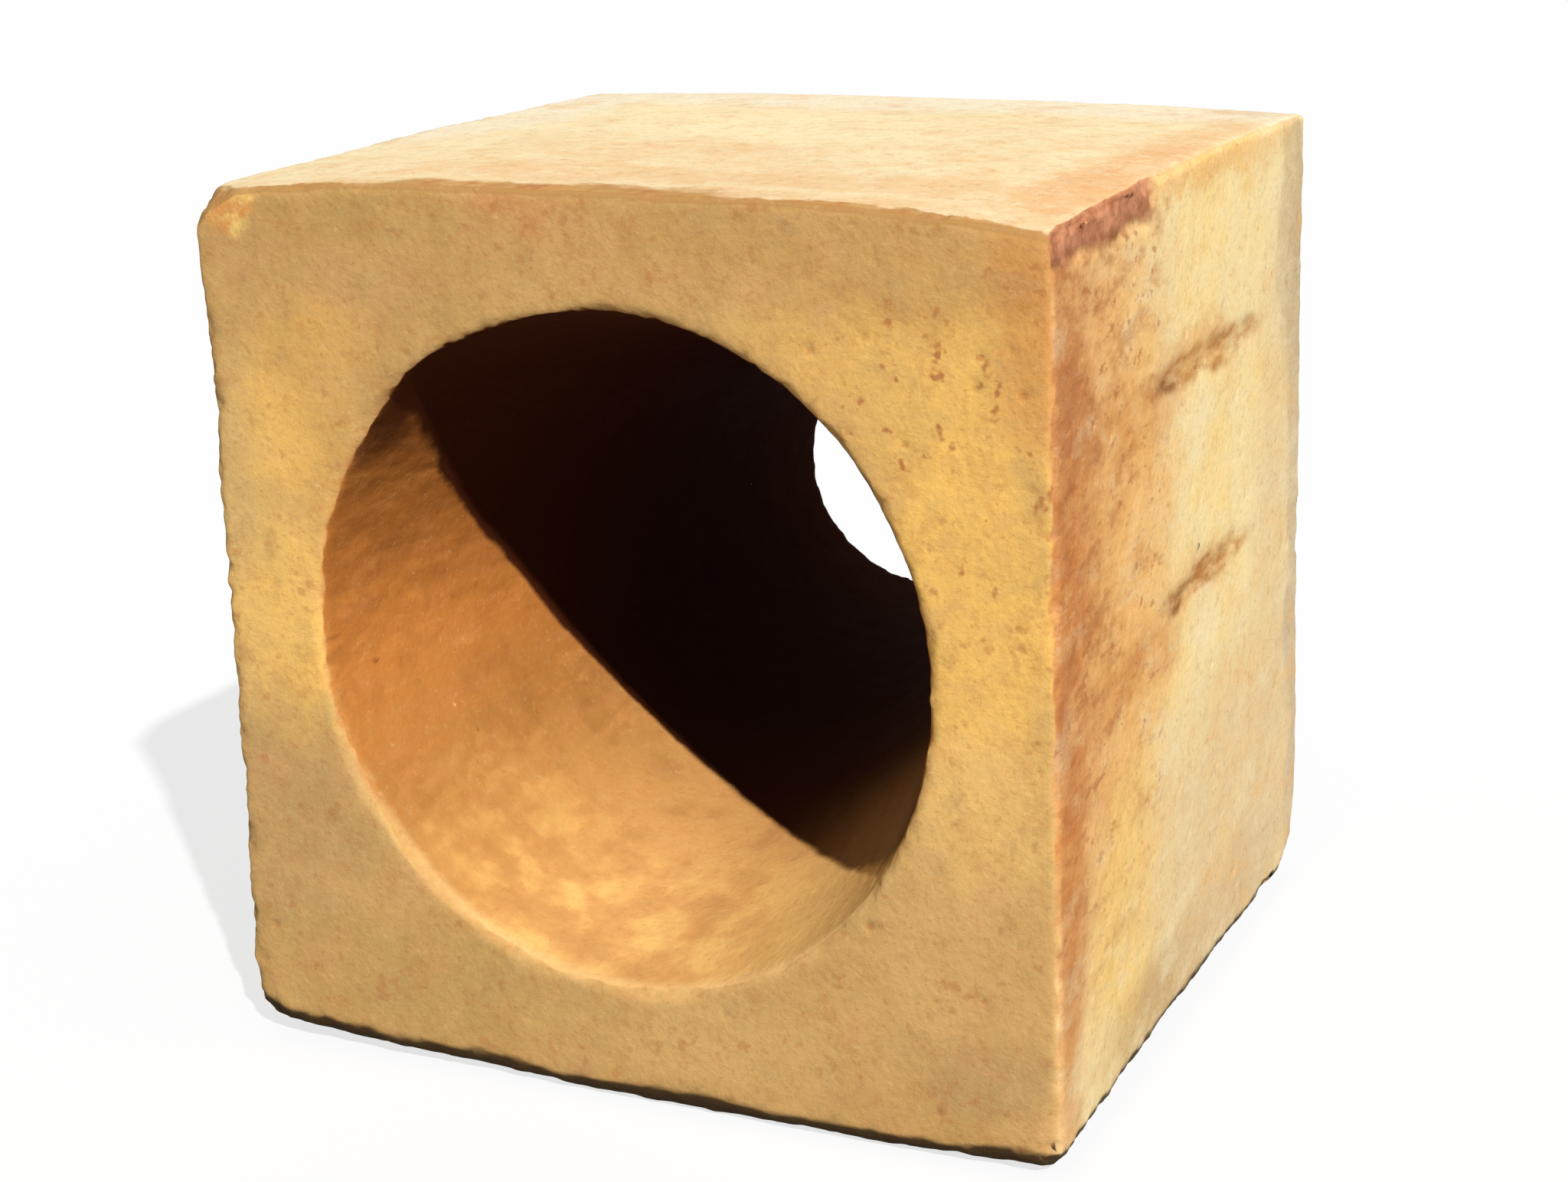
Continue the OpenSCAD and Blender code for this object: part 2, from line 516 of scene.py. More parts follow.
def apply_modifiers(piece):
    graph = bpy.context.evaluated_depsgraph_get()
    mesh = bpy.data.meshes.new_from_object(piece.evaluated_get(graph))
    piece.modifiers.clear()
    piece.data = mesh


def fine_copy(node):
    """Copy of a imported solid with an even, fine mesh."""
    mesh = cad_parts[node].data.copy()
    whole = bmesh.new()
    whole.from_mesh(mesh)
    bmesh.ops.remove_doubles(whole, verts=whole.verts, dist=0.01 * MM)
    whole.to_mesh(mesh)
    whole.free()
    piece = add_object("fired_skin", mesh)
    remesh = piece.modifiers.new("fine mesh", "REMESH")
    remesh.mode = "VOXEL"
    remesh.voxel_size = VOXEL * MM
    apply_modifiers(piece)
    return piece


def thin_out(piece):
    """Fewer faces where the surface is plain."""
    triangles = sum(len(face.vertices) - 2 for face in piece.data.polygons)
    decimate = piece.modifiers.new("thin out", "DECIMATE")
    decimate.ratio = min(1, TRIANGLES / triangles)
    decimate.use_collapse_triangulate = True
    apply_modifiers(piece)


def store(piece, name, values):
    """Keeps a value from 0 to 1 for each point of the mesh, for the material."""
    attribute = piece.data.attributes.new(name, "FLOAT", "POINT")
    attribute.data.foreach_set("value", np.clip(values, 0, 1).astype(np.float32))


def make_block():
    """The worn block: fine copy of the solid, settled on the worn shape, broken and pitted."""
    piece = fine_copy(NODE)
    points = read_points(piece)
    wear = uneven_wear(points)
    bore_wave = bore_waves(points)
    points = settle_on(lambda spots: worn_block(spots, wear, bore_wave), follow_bore(points))
    points = chip_edges(break_corners(points))
    set_points(piece, points)
    normals = read_vectors(piece.data.vertices, "normal")
    points += normals * relief(points, normals)[:, None]
    points[:, 2] -= points[:, 2].min()
    points = np.clip(points, LOW, HIGH)
    set_points(piece, points)
    thin_out(piece)
    points = read_points(piece)
    store(piece, "worn", worn_share(points))
    store(piece, "hollow", pit_depths(points))
    piece.data.shade_smooth()
    return piece


# ---------------------------------------------------------------- camera, light and floor
# Where the camera looks from: degrees round the block and above the floor, and its lean
AZIMUTH = 24.36
ELEVATION = 15.98
ROLL = -1.13
# How far it stands from its target, and its lens in millimetres
DISTANCE = 0.7825
TARGET = Vector((-0.0040, 0, 0.1046))
LENS = 65.07
SENSOR_WIDTH = 36

# Key light: the way its light travels, its strength, and its width in degrees
KEY_TRAVEL = Vector((-0.53, 0.56, -0.65))
KEY_STRENGTH = 4.05
KEY_WIDTH = 1.2
# Even light from all round, as a share of plain white
FILL = 0.30
# Half the side of the floor, in metres
FLOOR_REACH = 40.0
# Grey of the floor under the block's shadow, and how much of that shadow shows
FLOOR_GREY = 0.86
SHADOW_SHARE = 0.25
# Grey that the floor has for the light that it gives back to the block
FLOOR_BOUNCE = 0.25


def make_camera():
    azimuth, elevation, roll = (math.radians(a) for a in (AZIMUTH, ELEVATION, ROLL))
    back = Vector((
        math.sin(azimuth) * math.cos(elevation),
        -math.cos(azimuth) * math.cos(elevation),
        math.sin(elevation),
    ))
    right = Vector((math.cos(azimuth), math.sin(azimuth), 0))
    up = back.cross(right)
    leaning_right = right * math.cos(roll) + up * math.sin(roll)
    leaning_up = up * math.cos(roll) - right * math.sin(roll)
    camera = add_object("camera", bpy.data.cameras.new("camera"))
    camera.data.lens = LENS
    camera.data.sensor_width = SENSOR_WIDTH
    turn = Matrix((leaning_right, leaning_up, back)).transposed().to_4x4()
    camera.matrix_world = Matrix.Translation(TARGET + back * DISTANCE) @ turn
    bpy.context.scene.camera = camera


def make_light():
    key = add_object("key_light", bpy.data.lights.new("key_light", "SUN"))
    key.data.energy = KEY_STRENGTH
    key.data.angle = math.radians(KEY_WIDTH)
    key.rotation_euler = KEY_TRAVEL.to_track_quat("-Z", "Y").to_euler()


class Nodes:
    """Adds nodes to a tree. Most methods give back an output socket."""

    def __init__(self, tree):
        self.tree = tree
        tree.nodes.clear()

    def outputs(self, kind):
        return self.tree.nodes.new(kind).outputs

    def add(self, kind, inputs=(), output=0, **settings):
        node = self.tree.nodes.new(kind)
        for name, value in settings.items():
            setattr(node, name, value)
        for name, value in dict(inputs).items():
            if isinstance(value, bpy.types.NodeSocket):
                self.tree.links.new(value, node.inputs[name])
            else:
                node.inputs[name].default_value = value
        return node.outputs[output]

    def math(self, operation, *values):
        return self.add("ShaderNodeMath", enumerate(values), operation=operation)

    def vector(self, operation, *values):
        return self.add("ShaderNodeVectorMath", enumerate(values), operation=operation)

    def scaled(self, vector, factors):
        return self.vector("MULTIPLY", vector, factors)

    def length(self, first, second):
        """Length of the long side of a right triangle with the given short sides."""
        squares = [self.math("MULTIPLY", side, side) for side in (first, second)]
        return self.math("SQRT", self.math("ADD", *squares))

    def split(self, vector):
        node = self.tree.nodes.new("ShaderNodeSeparateXYZ")
        self.tree.links.new(vector, node.inputs[0])
        return node.outputs

    def noise(self, place, period, seed, detail=5.0, roughness=0.6, output=0):
        """Random values from 0 to 1 round 0.5, that vary over the given number of millimetres."""
        inputs = {
            "Vector": place, "W": seed, "Scale": 1 / period,
            "Detail": detail, "Roughness": roughness,
        }
        return self.add("ShaderNodeTexNoise", inputs, output, noise_dimensions="4D")

    def step(self, value, start, end):
        """0 before start, 1 after end, and a smooth rise between them. The start may be higher."""
        inputs = {"Value": value, "From Min": start, "From Max": end}
        return self.add("ShaderNodeMapRange", inputs, interpolation_type="SMOOTHSTEP")

    def even(self, value, start, end, low, high):
        """low before start, high after end, and an even rise between them."""
        inputs = {"Value": value, "From Min": start, "From Max": end, "To Min": low, "To Max": high}
        return self.add("ShaderNodeMapRange", inputs)

    def both(self, *shares):
        share = shares[0]
        for other in shares[1:]:
            share = self.math("MULTIPLY", share, other)
        return share

    def mix(self, share, first, second):
        return self.add("ShaderNodeMix", {0: share, 6: first, 7: second}, 2, data_type="RGBA")

    def tint(self, skin, tint, *shares):
        """The skin, with the tint over it as far as all the shares allow."""
        return self.mix(self.both(*shares), skin, tint)

    def ramp(self, value, stops):
        """Colour between stops, each a value and the colour there, in rising order."""
        first, last = stops[0][0], stops[-1][0]
        node = self.tree.nodes.new("ShaderNodeValToRGB")
        elements = node.color_ramp.elements
        for _ in stops[2:]:
            elements.new(0.5)
        for element, (place, tint) in zip(elements, stops):
            element.position = (place - first) / (last - first)
            element.color = tint
        self.tree.links.new(self.even(value, first, last, 0, 1), node.inputs[0])
        return node.outputs[0]

    def add_output(self, surface, kind="ShaderNodeOutputMaterial"):
        node = self.tree.nodes.new(kind)
        self.tree.links.new(surface, node.inputs["Surface"])


def new_material(name):
    """A material, and the nodes of its empty tree."""
    material = bpy.data.materials.new(name)
    material.use_nodes = True
    return material, Nodes(material.node_tree)


def colour(red, green, blue):
    """Linear colour from the usual display values of 0 to 255."""
    values = [v / 255 for v in (red, green, blue)]
    return [v / 12.92 if v <= 0.04045 else ((v + 0.055) / 1.055) ** 2.4 for v in values] + [1]


# ---------------------------------------------------------------- fired clay
# Tans and golds
TAN = colour(202, 156, 94)
LIGHT_TAN = colour(216, 172, 108)
GREY_TAN = colour(186, 150, 98)
OLIVE_TAN = colour(188, 150, 88)
PINK_TAN = colour(214, 160, 106)
SANDY = colour(224, 184, 116)
GOLD = colour(250, 197, 103)
DEEP_GOLD = colour(226, 172, 90)
# Creams and greys
CREAM = colour(240, 214, 166)
PALE_CREAM = colour(246, 230, 186)
# Pale band inside the mouth: partly worn clay, partly a painted highlight
RIM_CREAM_AND_HIGHLIGHT = colour(238, 190, 126)
PEACH = colour(234, 194, 144)
BEIGE = colour(230, 200, 152)
CORNER_BEIGE = colour(222, 200, 168)
PALE_GREY = colour(243, 233, 208)
GREY = colour(196, 178, 150)
STONE = colour(194, 170, 130)
# Yellows and oranges
YELLOW = colour(252, 221, 152)
WARM_YELLOW = colour(250, 208, 122)
DEEP_YELLOW = colour(240, 192, 116)
APRICOT = colour(240, 182, 108)
FLUSH = colour(234, 180, 124)
LIGHT_ORANGE = colour(248, 198, 128)
ORANGE = colour(222, 152, 82)
CLAY_ORANGE = colour(214, 146, 80)
# Rust and browns
FLASHED = colour(206, 136, 84)
RUST = colour(204, 128, 60)
UMBER = colour(190, 152, 100)
PINK_BROWN = colour(206, 138, 86)
PATCH_RUSSET = colour(206, 140, 104)
SCUFF_BROWN = colour(184, 122, 60)
# Brown of the front lip, partly painted shade on the highlight of its rounding
LIP_BROWN_AND_SHADE = colour(172, 128, 74)
BROWN = colour(176, 106, 58)
PATCH_BROWN = colour(170, 106, 72)
BORE_DEEP = colour(124, 70, 30)
DARK_BROWN = colour(112, 68, 34)
# Painted shade: nearly black in the bore's shadow, and dark under the block
PAINTED_BORE_SHADE = colour(54, 15, 1)
PAINTED_UNDER_SHADE = colour(34, 22, 14)

# Patches of colour: centre along the face and up, half its length and height, colour, strength
FRONT_PATCHES = (
    (92, 140, 24, 52, GOLD, 0.95),
    (84, 194, 40, 20, GOLD, 0.65),
    (82, 214, 26, 8, DEEP_GOLD, 0.6),
    (-101, 138, 18, 48, SANDY, 0.8),
    (-84, 176, 16, 36, DEEP_GOLD, 0.6),
    (-90, 116, 16, 26, GOLD, 0.85),
    (-92, 168, 12, 14, GOLD, 0.5),
    (-66, 212, 34, 10, GREY_TAN, 0.6),
    (-104, 216, 10, 8, GREY_TAN, 0.6),
    (0, 218, 130, 12, TAN, 0.8),
    (-22, 224, 14, 5, FLASHED, 0.6),
    (-60, 221, 44, 5, OLIVE_TAN, 0.6),
    (-98, 60, 24, 30, GREY_TAN, 0.6),
    (-60, 22, 46, 18, OLIVE_TAN, 0.7),
    (30, 20, 34, 12, LIGHT_TAN, 0.6),
    (90, 52, 20, 22, LIGHT_TAN, 0.7),
    (98, 22, 18, 12, GREY_TAN, 0.7),
    (96, 92, 18, 20, DEEP_YELLOW, 0.8),
    (107, 204, 10, 28, CLAY_ORANGE, 0.75),
)
# The same on the top: centre to the right and to the back, half its width and depth
TOP_PATCHES = (
    (-20, -76, 50, 16, PEACH, 0.8),
    (64, -78, 50, 16, PEACH, 0.9),
    (-16, -38, 40, 18, PEACH, 0.6),
    (-10, 20, 56, 30, PALE_CREAM, 0.9),
    (-84, 70, 40, 34, PALE_CREAM, 0.7),
    (10, 92, 130, 26, PALE_GREY, 0.85),
    (-104, 40, 20, 70, PALE_GREY, 0.8),
    (44, 30, 24, 30, CREAM, 0.6),
    (103, -36, 14, 62, FLUSH, 0.95),
    (104, 40, 12, 40, FLUSH, 0.45),
    (100, 104, 14, 10, CORNER_BEIGE, 0.7),
    (0, -103, 120, 6, PEACH, 0.8),
)
# The same on the right face: centre to the back and up
RIGHT_PATCHES = (
    (-72, 140, 50, 90, APRICOT, 1.0),
    (-74, 198, 36, 12, LIGHT_ORANGE, 0.5),
    (-56, 50, 30, 30, WARM_YELLOW, 0.9),
    (-60, 170, 46, 8, CLAY_ORANGE, 0.6),
    (-60, 110, 46, 8, CLAY_ORANGE, 0.75),
    (-104, 130, 13, 90, RUST, 1.0),
    (-92, 152, 12, 40, RUST, 0.6),
    (-104, 180, 12, 24, BROWN, 0.8),
    (-92, 176, 12, 12, BROWN, 0.45),
    (-104, 112, 12, 10, BROWN, 0.5),
    (-98, 58, 12, 30, RUST, 0.4),
    (-101, 26, 13, 20, RUST, 0.6),
    (-6, 16, 62, 14, UMBER, 0.9),
    (60, 20, 36, 14, STONE, 0.8),
    (6, 180, 30, 7, ORANGE, 0.5),
    (6, 120, 30, 8, ORANGE, 0.35),
    (0, 227, 115, 5, APRICOT, 0.6),
    (40, 44, 80, 46, BEIGE, 0.9),
    (84, 120, 24, 70, BEIGE, 0.7),
    (104, 110, 8, 120, GREY, 0.7),
    (98, 200, 14, 40, STONE, 0.7),
)
# Colours of the bore's wall, by how far it faces up
BORE_COLOURS = (
    (-0.6, colour(146, 90, 36)),
    (-0.2, colour(172, 106, 44)),
    (0.15, colour(200, 128, 58)),
    (0.5, colour(182, 124, 61)),
    (0.78, colour(204, 148, 80)),
    (1.0, colour(227, 170, 100)),
)

# Places on the surface: centre, reach along X, Y and Z, and softness of the border.
# Spotted part of the front, and the raw clay of its broken upper left corner
SPOTTED_FRONT = ((90, 0, 178), (36, 0, 34), 0.4)
RAW_CORNER = ((-108, -104, 220), (13, 13, 8), 0.3)
# Middle of the front lip, where the front's colour reaches far on to the top
LIP_MIDDLE = ((-16, -112, 0), (50, 16, 0), 0.2)
# Part of the mouth's roof that has painted shade on it, and part low in the bore that has less
PAINTED_SHADE_ROOF = ((-62, -108, 177), (17, 26, 15), 0.5)
THIN_PAINTED_SHADE = ((48, -74, 58), (34, 50, 26), 0.6)

# Where the front's colour ends on the top, to the back, apart from the middle of the lip
LIP_END = (-106, -109)
# How far the borders of large patches stray, and those of the scuffs and the rough patch
STRAY = 36
NUDGE = 12
# Where the bore's colour ends past its wall, and where the surface faces the front or the back
BORE_COLOUR_END = (9.0, 7.0)
FACE_BEGINS = (0.75, 0.55)
# How far a normal turns up, or to the right, before the surface has the colour of that face
TURNED_UP = (0.6, 0.9)
TURNED_RIGHT = (0.45, 0.8)
# Where the brown of the right face's front third ends to the back, where it grows strong to the
# front, and the heights over which it begins
THIRD_BROWN_END = (-16, -34)
THIRD_BROWN_STRONG = (-45, -100)
THIRD_BROWN_FOOT = (10, 100)
# Darker spot in a scuff: how far behind the scuff's front end and above its middle it lies, and
# half its length and width
SCUFF_SPOT_PLACE = (12, -1)
SCUFF_SPOT_REACH = (8, 2.5)
# Heights over which worn edges stop being pale, the pale being partly a painted highlight, and over
# which the front lip turns brown, partly as painted shade on the highlight of its rounding
PALE_WEAR_AND_HIGHLIGHT_TOP = (120, 60)
LIP_BROWN_AND_SHADE_FOOT = (212, 220)
# Painted shade under the block: how far a normal turns down, and the heights over which the painted
# shade ends
TURNED_DOWN = (-0.02, -0.32)
PAINTED_UNDER_SHADE_TOP = (16, 10)
# Relief of the clay's grain: its height in millimetres, and how strongly it shows
GRAIN_HEIGHT = 0.5
GRAIN_STRENGTH = 0.7
# Roughness of the clay, from the hollows of its grain to the tops
CLAY_ROUGHNESS = (0.85, 1.0)
# Painted shade blackens the bore beyond a slanting cylinder that starts at the mouth and runs the way
# the key light travels, so that it fills the mouth's shadow: how far the cylinder drifts to the left
# and down for each millimetre of depth
PAINTED_SHADE_DRIFT = (0.946, 1.161)
# How far past the cylinder the painted shade begins and is full, and how far that border strays
PAINTED_SHADE_BORDER = (0.5, 3.5)
PAINTED_SHADE_STRAY = 8.0
# Depth at which the painted shade begins and is full, and the height over which it begins at the
# mouth
PAINTED_SHADE_DEPTH = (1, 6)
PAINTED_SHADE_HEIGHT = (135, 155)


def clay_material():
    material, sh = new_material("fired_clay")
    place = sh.scaled(sh.outputs("ShaderNodeTexCoord")["Object"], (1 / MM,) * 3)
    facing = sh.outputs("ShaderNodeNewGeometry")["Normal"]
    wander = sh.noise(place, 24, seed=1.0, roughness=0.65, output=1)
    wander = sh.vector("SUBTRACT", wander, (0.5, 0.5, 0.5))
    strayed = sh.vector("ADD", place, sh.scaled(wander, (STRAY,) * 3))
    nudged = sh.vector("ADD", place, sh.scaled(wander, (NUDGE,) * 3))

    top, right, bore = surface_regions(sh, place, facing)
    skin = front_colour(sh, place, strayed)
    lip = lip_colour(sh, place, skin)
    top_skin = sh.tint(top_colour(sh, place, strayed), lip, lip_share(sh, strayed))
    skin = sh.tint(skin, top_skin, top)
    skin = sh.tint(skin, right_colour(sh, place, nudged, strayed), right)
    skin = sh.tint(skin, bore_colour(sh, place, facing), bore)
    skin = wear_colour(sh, skin, place, facing)
    skin = grain_colour(sh, skin, place)
    # Painted shade: the bore's wall turns nearly black in the key light's shadow and on its roof
    skin = sh.tint(skin, PAINTED_BORE_SHADE, bore, painted_bore_shade_share(sh, place, strayed), 0.97)
    # Painted shade: dark on the surfaces near the base that face down
    faces_down = sh.step(sh.split(facing)[2], *TURNED_DOWN)
    at_base = sh.step(sh.split(place)[2], *PAINTED_UNDER_SHADE_TOP)
    skin = sh.tint(skin, PAINTED_UNDER_SHADE, faces_down, at_base, 0.9)

    grain = sh.noise(place, 2.2, seed=7.0, roughness=0.7)
    inputs = {"Strength": GRAIN_STRENGTH, "Distance": GRAIN_HEIGHT * MM, "Height": grain}
    bump = sh.add("ShaderNodeBump", inputs)
    rough = sh.even(grain, 0, 1, *CLAY_ROUGHNESS)
    inputs = {"Base Color": skin, "Roughness": rough, "Normal": bump, "Specular IOR Level": 0.1}
    sh.add_output(sh.add("ShaderNodeBsdfPrincipled", inputs))
    return material


def surface_regions(sh, place, facing):
    """Shares of the top, the right face and the bore."""
    x, y, z = sh.split(place)
    facing_x, facing_y, facing_z = sh.split(facing)
    along = sh.math("DIVIDE", sh.math("ADD", y, HALF_DEPTH), 2 * HALF_DEPTH)
    radius, bore_x, bore_z = (
        sh.math("ADD", mouth, sh.math("MULTIPLY", along, outlet - mouth))
        for mouth, outlet in zip(MOUTH, OUTLET)
    )
    off_axis = sh.length(sh.math("SUBTRACT", x, bore_x), sh.math("SUBTRACT", z, bore_z))
    near_wall = sh.step(sh.math("SUBTRACT", off_axis, radius), *BORE_COLOUR_END)
    leaves_face = sh.step(sh.math("ABSOLUTE", facing_y), *FACE_BEGINS)
    top = sh.step(facing_z, *TURNED_UP)
    right = sh.step(facing_x, *TURNED_RIGHT)
    return top, right, sh.both(near_wall, leaves_face)


def patch_share(sh, place, centre, reach, soft=0.5):
    """1 inside the ellipse at the centre, 0 outside it, with a soft border.

    A reach of 0 along an axis means that the patch has no end along it.
    """
    flat = tuple(1 / length if length else 0 for length in reach)
    offset = sh.scaled(sh.vector("SUBTRACT", place, centre), flat)
    distance = sh.add("ShaderNodeVectorMath", {0: offset}, 1, operation="LENGTH")
    return sh.step(distance, 1 + soft, 1 - soft)


def paint(sh, skin, place, patches, on_face):
    """Paints the patches; on_face turns two lengths along a face into one for each axis."""
    uneven = sh.even(sh.noise(place, 10, seed=1.5), 0.3, 0.65, 0.65, 1.05)
    for first, second, half_first, half_second, tint, strength in patches:
        share = patch_share(sh, place, on_face(first, second), on_face(half_first, half_second))
        skin = sh.tint(skin, tint, share, strength, uneven)
    return skin


def mottled(sh, place, period, borders, tints, seed):
    """The first tint where the noise lies before its borders, the second where it is past them."""
    return sh.mix(sh.step(sh.noise(place, period, seed), *borders), *tints)


def clouded(sh, skin, place, period, dark, light, seed):
    """Darker and lighter clouds over the skin, each a colour and its strength."""
    clouds = sh.noise(place, period, seed, detail=6.0, roughness=0.68)
    (dark_tint, dark_share), (light_tint, light_share) = dark, light
    skin = sh.tint(skin, dark_tint, sh.step(clouds, 0.50, 0.34), dark_share)
    return sh.tint(skin, light_tint, sh.step(clouds, 0.50, 0.66), light_share)


def front_colour(sh, place, strayed):
    skin = mottled(sh, place, 26, (0.36, 0.64), (OLIVE_TAN, LIGHT_TAN), seed=2.0)
    skin = sh.tint(skin, TAN, 0.5)
    skin = paint(sh, skin, strayed, FRONT_PATCHES, lambda across, up: (across, 0, up))
    skin = clouded(sh, skin, place, 15, (GREY_TAN, 0.4), (PINK_TAN, 0.35), seed=2.3)
    skin = clouded(sh, skin, place, 6, (BROWN, 0.22), (LIGHT_TAN, 0.3), seed=2.6)
    spots = sh.step(sh.noise(place, 4.5, seed=2.9, detail=2.0), 0.60, 0.70)
    skin = sh.tint(skin, BROWN, spots, patch_share(sh, strayed, *SPOTTED_FRONT), 0.75)
    skin = sh.tint(skin, BROWN, spots, 0.35)
    raw = mottled(sh, place, 7, (0.4, 0.6), (ORANGE, WARM_YELLOW), seed=2.7)
    return sh.tint(skin, raw, patch_share(sh, strayed, *RAW_CORNER), 0.8)


def lip_share(sh, strayed):
    """Strip along the front of the top that has the front's colour: wide in the middle."""
    middle = patch_share(sh, strayed, *LIP_MIDDLE)
    return sh.math("MAXIMUM", middle, sh.step(sh.split(strayed)[1], *LIP_END))


def lip_colour(sh, place, skin):
    """The front's colour, a little browner as painted shade, since the top gets more light than the
    front, and with blotches drawn out to the back.
    """
    blotches = sh.noise(sh.scaled(place, (1, 0.15, 1)), 6, seed=3.8, detail=4.0)
    # Painted shade: a little browner, so that the brighter lit top keeps the front's look
    skin = sh.tint(skin, BROWN, 0.1)
    return sh.tint(skin, BROWN, sh.step(blotches, 0.45, 0.62), 0.5)


def top_colour(sh, place, strayed):
    skin = mottled(sh, place, 30, (0.38, 0.62), (CREAM, PALE_CREAM), seed=3.0)
    skin = sh.tint(skin, CREAM, 0.4)
    skin = paint(sh, skin, strayed, TOP_PATCHES, lambda across, along: (across, along, 0))
    skin = clouded(sh, skin, place, 14, (PEACH, 0.55), (PALE_CREAM, 0.4), seed=3.3)
    return clouded(sh, skin, place, 5, (APRICOT, 0.3), (PALE_CREAM, 0.4), seed=3.6)


def right_colour(sh, place, nudged, strayed):
    drawn_out = sh.scaled(place, (1, 0.5, 1))
    skin = mottled(sh, place, 34, (0.4, 0.6), (YELLOW, PALE_CREAM), seed=4.0)
    skin = sh.tint(skin, YELLOW, 0.6)
    skin = paint(sh, skin, strayed, RIGHT_PATCHES, lambda along, up: (0, along, up))
    skin = clouded(sh, skin, drawn_out, 12, (APRICOT, 0.4), (PALE_CREAM, 0.4), seed=4.3)
    skin = front_third_colour(sh, skin, place, drawn_out, sh.split(strayed)[1])
    skin = rough_patch_colour(sh, skin, place, nudged)
    return scuff_colour(sh, skin, place, nudged)


def front_third_colour(sh, skin, place, drawn_out, strayed_y):
    """Brown blotches and spots on the front third of the right face, most near its front edge."""
    above_foot = sh.step(sh.split(place)[2], *THIRD_BROWN_FOOT)
    third = sh.both(sh.step(strayed_y, *THIRD_BROWN_END), above_foot)
    near_edge = sh.step(strayed_y, *THIRD_BROWN_STRONG)
    skin = sh.tint(skin, PINK_BROWN, third, near_edge, 0.4)
    strength = sh.math("ADD", 0.4, sh.math("MULTIPLY", near_edge, 0.3))
    blotches = sh.noise(drawn_out, 8, seed=4.5, detail=6.0, roughness=0.7)
    skin = sh.tint(skin, BROWN, third, sh.step(blotches, 0.48, 0.64), strength)
    skin = sh.tint(skin, LIGHT_ORANGE, third, sh.step(blotches, 0.48, 0.34), 0.4)
    spots = sh.noise(drawn_out, 3, seed=4.6, detail=3.0)
    return sh.tint(skin, BROWN, third, sh.step(spots, 0.57, 0.68), 0.6)


def rough_patch_colour(sh, skin, place, nudged):
    """Brown patch under the top edge, darkest along its foot."""
    _, y, z = sh.split(nudged)
    before_end = sh.step(y, PATCH_END + 5, PATCH_END - 4)
    above_foot = sh.step(z, PATCH_FOOT - 2, PATCH_FOOT + 2)
    brown = mottled(sh, place, 6, (0.38, 0.62), (PATCH_RUSSET, PATCH_BROWN), seed=4.7)
    brown = sh.tint(brown, DARK_BROWN, sh.step(z, PATCH_FOOT + 4, PATCH_FOOT), 0.6)
    return sh.tint(skin, brown, sh.both(before_end, above_foot), 0.95)


def scuff_colour(sh, skin, place, nudged):
    """Streaky brown scuffs, each with a darker spot at its front end."""
    streaks = sh.noise(sh.scaled(place, (1, 0.3, 1)), 4.5, seed=4.9, roughness=0.65)
    streaks = sh.even(streaks, 0.4, 0.6, 0.3, 1.0)
    behind, above = SCUFF_SPOT_PLACE
    for start, end, level, half_width in SCUFFS:
        middle, half_length = (start + end) / 2, (end - start) / 2
        scuff = patch_share(sh, nudged, (0, middle, level), (0, half_length, half_width), 0.35)
        skin = sh.tint(skin, SCUFF_BROWN, scuff, streaks, 0.95)
        spot_centre = (0, start + behind, level + above)
        spot = patch_share(sh, nudged, spot_centre, (0, *SCUFF_SPOT_REACH), 0.6)
        skin = sh.tint(skin, DARK_BROWN, spot, streaks, 0.6)
    return skin


def bore_colour(sh, place, facing):
    y = sh.split(place)[1]
    facing_x, _, facing_z = sh.split(facing)
    streaks = sh.noise(sh.scaled(place, (1, 0.3, 1)), 7, seed=5.0, roughness=0.65)
    blotches = sh.noise(place, 12, seed=5.5, detail=3.0, roughness=0.5)
    skin = sh.ramp(facing_z, BORE_COLOURS)
    # Painted shade: darker deeper in the bore
    skin = sh.tint(skin, BORE_DEEP, sh.step(y, -85, 0), 0.4)
    skin = sh.tint(skin, FLASHED, sh.step(streaks, 0.48, 0.75), 0.3)
    skin = sh.tint(skin, ORANGE, sh.step(streaks, 0.48, 0.28), 0.35)
    skin = sh.tint(skin, BORE_DEEP, sh.step(blotches, 0.48, 0.70), 0.22)
    pale, low, in_front = (
        sh.step(blotches, 0.56, 0.38), sh.step(facing_z, 0.5, 0.9), sh.step(y, -40, -80)
    )
    skin = sh.tint(skin, WARM_YELLOW, pale, low, in_front, 0.45)
    # Painted light: lighter yellow on the bore's lower right wall, which faces left and up
    faces_left, faces_up = sh.step(facing_x, -0.12, -0.65), sh.step(facing_z, 0.2, 0.5)
    skin = sh.tint(skin, DEEP_YELLOW, faces_left, faces_up, 0.9)
    # Pale band on the lower wall just inside the mouth: partly worn clay, partly a painted highlight
    # where the light falls on the rim
    return sh.tint(skin, RIM_CREAM_AND_HIGHLIGHT, sh.step(y, -104, -108), sh.step(facing_z, 0.3, 0.8), 0.6)


